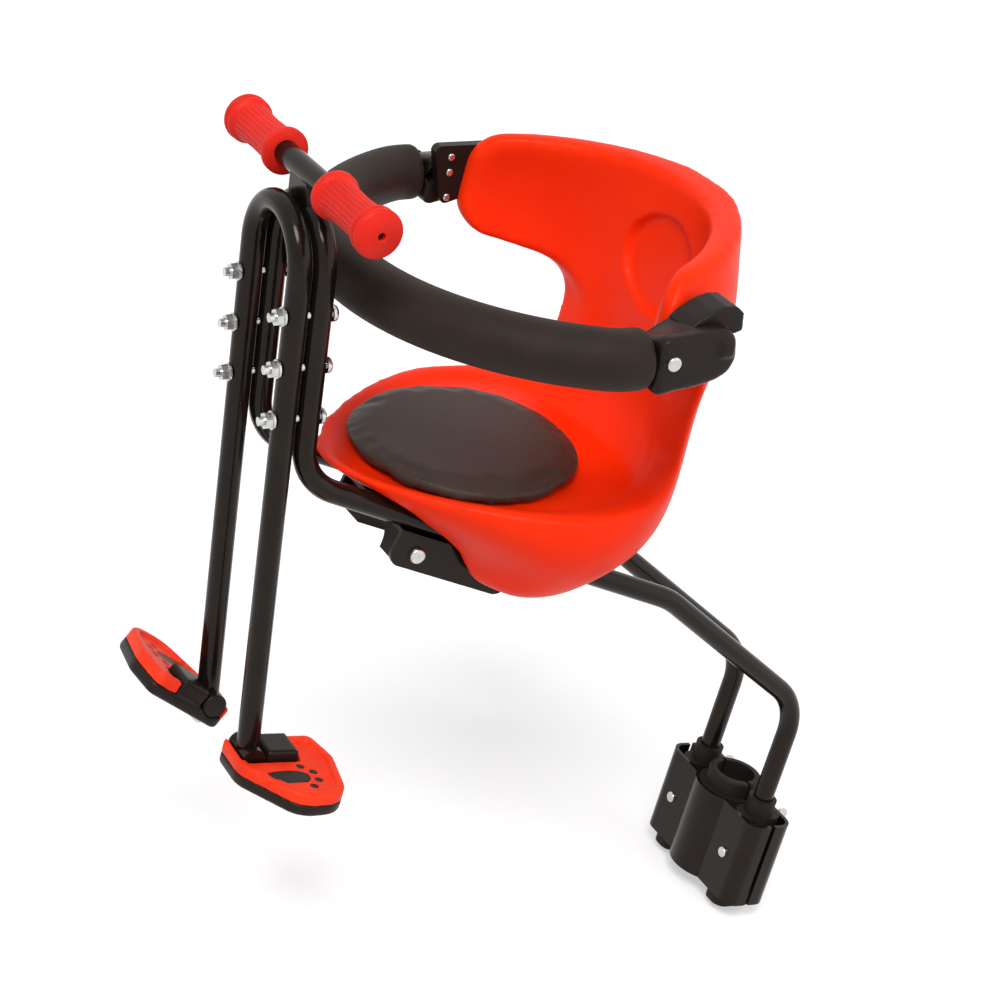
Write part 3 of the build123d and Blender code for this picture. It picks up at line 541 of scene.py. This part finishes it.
# %% [markdown]
# The clamps at the ends of the guard, with their plates and latch, follow the guard, which dips towards
# the front. They are worked on in axes of their own: forward from the end of the foam, to the left, and
# up.


# %% Axes of the guard
guard_end = np.array((0.3439, 0.0, 0.474))
guard_drop, guard_run = 0.0195, 0.127
dip = math.atan2(guard_drop, guard_run)
guard_axes = np.array([(math.cos(dip), 0, -math.sin(dip)), (0, 1, 0), (math.sin(dip), 0, math.cos(dip))])


def to_guard(points):
    return (points - guard_end) @ guard_axes.T


def from_guard(local):
    return local @ guard_axes + guard_end


print("the guard dips by", round(math.degrees(dip), 2), "degrees")

# %% [markdown]
# The front of each clamp is brought up to the foam at all heights, its lower edge is filled out, and the
# bolt's hole is closed, because the bolt's head lies flat on the clamp. The left clamp carries the
# latch, and its top falls away inwards at the front. The right one is plain, with a top that falls away
# outwards.


# %% Guard clamps
bolt_x, bolt_z = to_guard(np.array(middle_of("guard_bolts")))[[0, 2]]


def close_bolt_hole(local, side):
    hole_radius, ring_inner, ring_outer = 0.0042, 0.005, 0.008
    from_bolt = np.hypot(local[:, 0] - bolt_x, local[:, 2] - bolt_z)
    ring = (from_bolt > ring_inner) & (from_bolt < ring_outer)
    face = np.abs(local[ring, 1]).max()
    local[from_bolt < hole_radius, 1] = face if side == "left" else -face


def bring_front_forward(local):
    slant, top, height, foam_gap = 0.015, 0.020, 0.038, 0.001
    still_behind = -0.045
    front = -slant * (top - local[:, 2]) / height
    local[:, 0] += np.maximum(-foam_gap - front, 0.0) * share(local[:, 0], still_behind, front)


def slope_top_and_foot(local, outward, side):
    """Lower the top and deepen the foot, by shares of the height above and below the guard's axis."""
    x, z = local[:, 0], local[:, 2]
    if side == "left":
        most, from_y, to_y, from_x, to_x = 0.55, 0.174, 0.147, -0.034, -0.012
        fall = most * share(outward, from_y, to_y) * share(x, from_x, to_x)
    else:
        most, from_y, to_y = 0.65, 0.143, 0.183
        fall = most * share(outward, from_y, to_y)
    front_x, back_x, front_fill, back_fill = -0.015, -0.045, 0.1, 0.5
    fill = front_fill + (back_fill - front_fill) * share(x, front_x, back_x)
    local[:, 2] *= np.where(z > 0, 1.0 - fall, 1.0 + fill)


for side in sides:
    clamp = moulded(f"guard_clamp_{side}", face_size=0.0012, rounds=8)
    local = to_guard(points_of(clamp.data))
    outward = np.abs(local[:, 1])
    close_bolt_hole(local, side)
    bring_front_forward(local)
    slope_top_and_foot(local, outward, side)
    set_points(clamp.data, from_guard(local))
    relax(clamp, rounds=3)
    stand_for(clamp, f"guard_clamp_{side}")

# %% [markdown]
# A plate inside each wing takes the screws of its clamp. The left one ends below the top of its clamp
# and behind its front. Cutting it there would leave an open edge, so it is pressed in beyond those
# limits. It may stand higher further back.


# %% Left guard plate
def pressed_in(values, limit, give):
    """Values past the limit go on by only a small share."""
    return np.minimum(values, limit + give * (values - limit))


front_limit, front_top, back_top = -0.012, 0.003, 0.015
rise_from, rise_to = -0.030, -0.040
plate = moulded("guard_plate_left", face_size=0.0012, rounds=4)
local = to_guard(points_of(plate.data))
local[:, 0] = pressed_in(local[:, 0], front_limit, give=0.1)
plate_top = front_top + (back_top - front_top) * share(local[:, 0], rise_from, rise_to)
local[:, 2] = pressed_in(local[:, 2], plate_top, give=0.06)
set_points(plate.data, from_guard(local))
stand_for(plate, "guard_plate_left")

# %% [markdown]
# The screws on the left sit further back than the solids have them, and the upper ones lower, to suit
# the plate. Those on the right stay where they are.

# %% Screws of the guard plates
screw_back, upper_drop, middle_drop = 0.028, 0.0105, 0.007
upper_height, middle_height = 0.0145, 0.003
screws = copy_of("guard_plate_screws", "guard_plate_screws_set")
local = to_guard(points_of(screws.data))
on_left = local[:, 1] > 0
upper, middle = local[:, 2] > upper_height, local[:, 2] > middle_height
local[:, 0] -= on_left * screw_back
local[:, 2] -= on_left * np.where(upper, upper_drop, np.where(middle, middle_drop, 0.0))
set_points(screws.data, from_guard(local))
stand_for(screws, "guard_plate_screws")
screws.data.set_sharp_from_angle(angle=math.radians(35))

# %% [markdown]
# The latch lever rises in a hump over the left clamp and hooks down behind it. It is drawn in the
# guard's side view, in millimetres forward and up, given its width, and softened like the other
# mouldings. The right clamp has only a low cover in its place.


# %% Latch lever and right cover
def side_view_piece(name, outline, y_from, y_to):
    count = len(outline)
    millimetre = 0.001
    local = np.array([(x, y, z) for y in (y_from, y_to) for x, z in outline]) * millimetre
    faces = [tuple(range(count))[::-1], tuple(range(count, 2 * count))]
    faces += [((k + 1) % count, (k + 1) % count + count, k + count, k) for k in range(count)]
    piece = new_piece(name, from_guard(local).tolist(), faces)
    even_skin(piece, face_size=0.0009)
    relax(piece, rounds=14)
    return piece


hump = [
    (-26, 19), (-33, 25), (-43, 30.5), (-53, 33.5), (-61, 33),
    (-67, 28), (-68, 16), (-61, 14), (-57, 19), (-30, 17),
]
low_cover = [(-20, 5), (-22, 9), (-50, 9), (-52, 5)]
lever = side_view_piece("guard_hook_left_lever", hump, y_from=144.5, y_to=170.0)
stand_for(lever, "guard_hook_left")
cover = side_view_piece("guard_hook_right_cover", low_cover, y_from=-168.0, y_to=-150.0)
stand_for(cover, "guard_hook_right")

# %% [markdown]
# The foam sleeve is a plain round tube along the guard. Its copy gets an even skin too, so that the
# sweep has no facets.

# %% Foam sleeve
foam = copy_of("guard_foam", "guard_foam_sleeve")
even_skin(foam, face_size=0.002)
relax(foam, rounds=4)
stand_for(foam, "guard_foam")

# %% [markdown]
# The pad is foam in a tight leather cover. A cushion could be modelled by hand, but blowing up a plain
# form as cloth gives the crown that a stuffed cover has. Gravity is off, the pressure is low, and no
# point may move further than a cap.


# %% Blow up a cover
def blow_up(piece, pressure, frames, cap):
    before = points_of(piece.data)
    cloth = piece.modifiers.new("cover", "CLOTH")
    cloth.settings.use_pressure = True
    cloth.settings.uniform_pressure_force = pressure
    cloth.settings.effector_weights.gravity = 0.0
    cloth.point_cache.frame_start = 1
    cloth.point_cache.frame_end = frames
    for step in range(1, frames + 1):
        scene.frame_set(step)
    settle(piece)
    scene.frame_set(1)
    moved = points_of(piece.data) - before
    length = np.linalg.norm(moved, axis=1, keepdims=True)
    tiny = 1e-9
    moved *= np.minimum(1.0, cap / np.maximum(length, tiny))
    return before + moved


# %% [markdown]
# The pad lies on the pan, which slopes down to the front, so its copy is first laid level by the
# direction of its flat underside. It starts a little smaller and flatter than the solid, so that there
# is room to blow it up.

# %% Lay the pad level and blow it up
room_to_grow = (0.97, 0.97, 0.85)
pad = copy_of("seat_pad", "seat_pad_cover")
downward = -0.95
under_faces = [face for face in pad.data.polygons if face.normal.z < downward]
pad_up = -sum((face.normal * face.area for face in under_faces), Vector()).normalized()
pad_axes = np.array([Vector((0, 1, 0)).cross(pad_up), (0, 1, 0), pad_up])
start = points_of(pad.data)
pad_middle = (start.min(axis=0) + start.max(axis=0)) / 2
level = (start - pad_middle) @ pad_axes.T
pad_low, pad_high = level[:, 2].min(), level[:, 2].max()
set_points(pad.data, level * room_to_grow)
even_skin(pad, face_size=0.003)
relax(pad, rounds=4)
shape = blow_up(pad, pressure=4.0, frames=20, cap=0.005)
print("pad before shaping:", [round(v, 3) for v in np.ptp(shape, axis=0)])

# %% [markdown]
# The real cover is wider than the solid and lies a little to the left. Underneath it is flat, where it
# rests on the pan. The hem at its foot is pushed out in a slow wave, as the stapled edge of a cover is,
# and the pad is then laid back on the slope.

# %% Seat pad
widening, to_the_left, crown = (1.045, 1.12), (0.0, 0.0045), 0.002
hem_top, hem_fade = 0.1 * pad_low, 0.004
hem_width, hem_wave, quick_waves, slow_waves = 0.006, 0.003, 9, 4

shape[:, :2] = shape[:, :2] * widening + to_the_left
shape[:, 2] = np.clip(shape[:, 2], pad_low, pad_high + crown)
hem = share(shape[:, 2], hem_top, hem_top - hem_fade)
angle = np.arctan2(shape[:, 1], shape[:, 0])
wave = hem_width + hem_wave * np.sin(quick_waves * angle) * np.sin(slow_waves * angle + 1)
shape[:, :2] *= 1.0 + (hem * wave)[:, None]
set_points(pad.data, shape)
relax(pad, rounds=4)
fine = pad.modifiers.new("fine", "SUBSURF")
fine.levels = 1
settle(pad)
set_points(pad.data, points_of(pad.data) @ pad_axes + pad_middle)
stand_for(pad, "seat_pad")

# %% [markdown]
# The handlebar grips have fine ribs along a waisted body between two flanges, and a small hole in the
# end. They are turned shapes, so each is laid out as rings about the bar. The profile gives the way from
# the inner end and the radius, in shares of the length and of the flange's radius. Long stretches of it
# get more rings.

# %% Profile of a grip
grip_profile = [
    (0.000, 0.50), (0.000, 0.93), (0.012, 0.985), (0.055, 0.985), (0.070, 0.95), (0.095, 0.86),
    (0.115, 0.815), (0.25, 0.765), (0.44, 0.738), (0.62, 0.76), (0.74, 0.80), (0.782, 0.82),
    (0.800, 0.90), (0.815, 0.965), (0.830, 0.985), (0.848, 0.975), (0.856, 0.93), (0.862, 0.83),
    (0.872, 0.82), (0.884, 0.83), (0.890, 0.95), (0.900, 0.99), (0.915, 1.0), (0.935, 0.985),
    (0.950, 0.93), (0.962, 0.82), (0.976, 0.60), (0.992, 0.32), (0.999, 0.19), (0.996, 0.165),
    (0.985, 0.155), (0.94, 0.15),
]
rings_per_length = 40
rings = [grip_profile[0]]
for (t0, r0), (t1, r1) in zip(grip_profile, grip_profile[1:]):
    steps = max(1, round((t1 - t0) * rings_per_length))
    rings += [(t0 + (t1 - t0) * k / steps, r0 + (r1 - r0) * k / steps) for k in range(1, steps + 1)]
print("rings in a grip:", len(rings))

# %% [markdown]
# The ribs give a small hand its hold. They could be cut one by one, but on a turned shape they are
# simply a wave in the radius, which fades out before the flanges.


# %% Ribbed grips
def ribbed_grip(node, name, outward):
    around, ribs, rib_height, rib_valley = 168, 24, 0.0011, 0.6
    inner_fade, outer_fade = (0.10, 0.13), (0.78, 0.75)
    low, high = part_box(node)
    centre = middle_of(node)
    length = high.y - low.y
    flange = (high.x - low.x) / 2
    vertices = []
    for t, r in rings:
        ribbed = min(share(t, *inner_fade), share(t, *outer_fade))
        y = centre.y + (t - 0.5) * length * outward
        for k in range(around):
            angle = 2 * math.pi * k / around
            radius = r * flange + ribbed * rib_height * (abs(math.sin(ribs * angle / 2)) - rib_valley)
            vertices.append((centre.x + radius * math.cos(angle), y, centre.z + radius * math.sin(angle)))
    faces = []
    for row in range(len(rings) - 1):
        for k in range(around):
            here = row * around + k
            there = row * around + (k + 1) % around
            quad = (here, there, there + around, here + around)
            faces.append(quad if outward < 0 else quad[::-1])
    return new_piece(name, vertices, faces)


stand_for(ribbed_grip("grip_left", "grip_left_ribbed", 1), "grip_left")
stand_for(ribbed_grip("grip_right", "grip_right_ribbed", -1), "grip_right")

# %% [markdown]
# The floor is pale paper. The camera and reflections see it glow a little, so that it fades into the
# white background and still holds the shadow, while the light that it throws on the part stays plain.


# %% Floor
def studio_floor():
    size, gap_below = 6.0, 0.004
    low = cad_bounds[0].z - gap_below
    corners = [(-size, -size, low), (size, -size, low), (size, size, low), (-size, size, low)]
    floor = new_piece("studio_floor", corners, [(0, 1, 2, 3)])
    paper = Finish("pale_paper", Roughness=0.9, Specular_IOR_Level=0.1, Emission_Strength=1.0)
    fibre = paper.noise(scale=3.0)
    glow = paper.ramp(paper.seen(), [(0.0, (0.0, 0.0, 0.0)), (1.0, (0.46, 0.46, 0.46))])
    tone = paper.ramp(fibre, [(0.2, (0.60, 0.60, 0.60)), (0.8, (0.64, 0.64, 0.64))])
    paper.drive(Base_Color=tone, Emission_Color=glow)
    floor.data.materials.append(paper.material)
    print("floor at", round(low, 3))


studio_floor()

# %% [markdown]
# An even white surround, seen as white and giving less light than that, does most of the lighting. One
# soft lamp in front, above and on the left draws the shadow, and a weaker one from behind on the left
# lifts the sides. Both are far lamps whose light comes from a broad disc, so it falls evenly on the part
# and the floor.


# %% Surround and lamps
def white_surround(strength):
    world = bpy.data.worlds.new("white_surround")
    scene.world = world
    world.use_nodes = True
    sky = Nodes(world.node_tree)
    seen = sky.seen()
    light = world.node_tree.nodes["Background"]
    light.inputs["Color"].default_value = (1.0, 1.0, 1.0, 1.0)
    sky.join(strength * (1 - seen) + seen, light.inputs["Strength"])


def soft_lamp(name, towards, spread, strength):
    data = bpy.data.lights.new(name, "SUN")
    data.angle = math.radians(spread)
    data.energy = strength
    lamp = bpy.data.objects.new(name, data)
    lamp.rotation_euler = (-Vector(towards)).to_track_quat("-Z", "Y").to_euler()
    scene.collection.objects.link(lamp)


white_surround(strength=0.54)
soft_lamp("key", towards=(1.05, 1.0, 1.7), spread=26.0, strength=2.3)
soft_lamp("fill", towards=(-1.2, 1.6, 0.9), spread=70.0, strength=0.6)
print("studio with", len(bpy.data.lights), "lamps")

# %% [markdown]
# The camera looks from the front, from the part's left and from above. The part's own upright axis leans
# in the picture, so the camera is rolled against it: its right and back directions are given, and up
# follows.

# %% Camera
eye = Vector((1.2227, 1.3090, 0.9453))
back = Vector((0.5295, 0.7602, 0.3764)).normalized()
right = Vector((-0.8479, 0.4607, 0.2623))
right = (right - back * right.dot(back)).normalized()
up = back.cross(right)
camera = bpy.data.objects.new("camera", bpy.data.cameras.new("camera"))
camera.data.sensor_width = 36.0
camera.data.lens = 88.82
camera.data.clip_end = 50.0
turn = Matrix((right, up, back)).transposed().to_4x4()
camera.matrix_world = Matrix.Translation(eye) @ turn
scene.collection.objects.link(camera)
scene.camera = camera
scene.view_settings.view_transform = "Standard"
print("camera at", [round(v, 3) for v in eye])
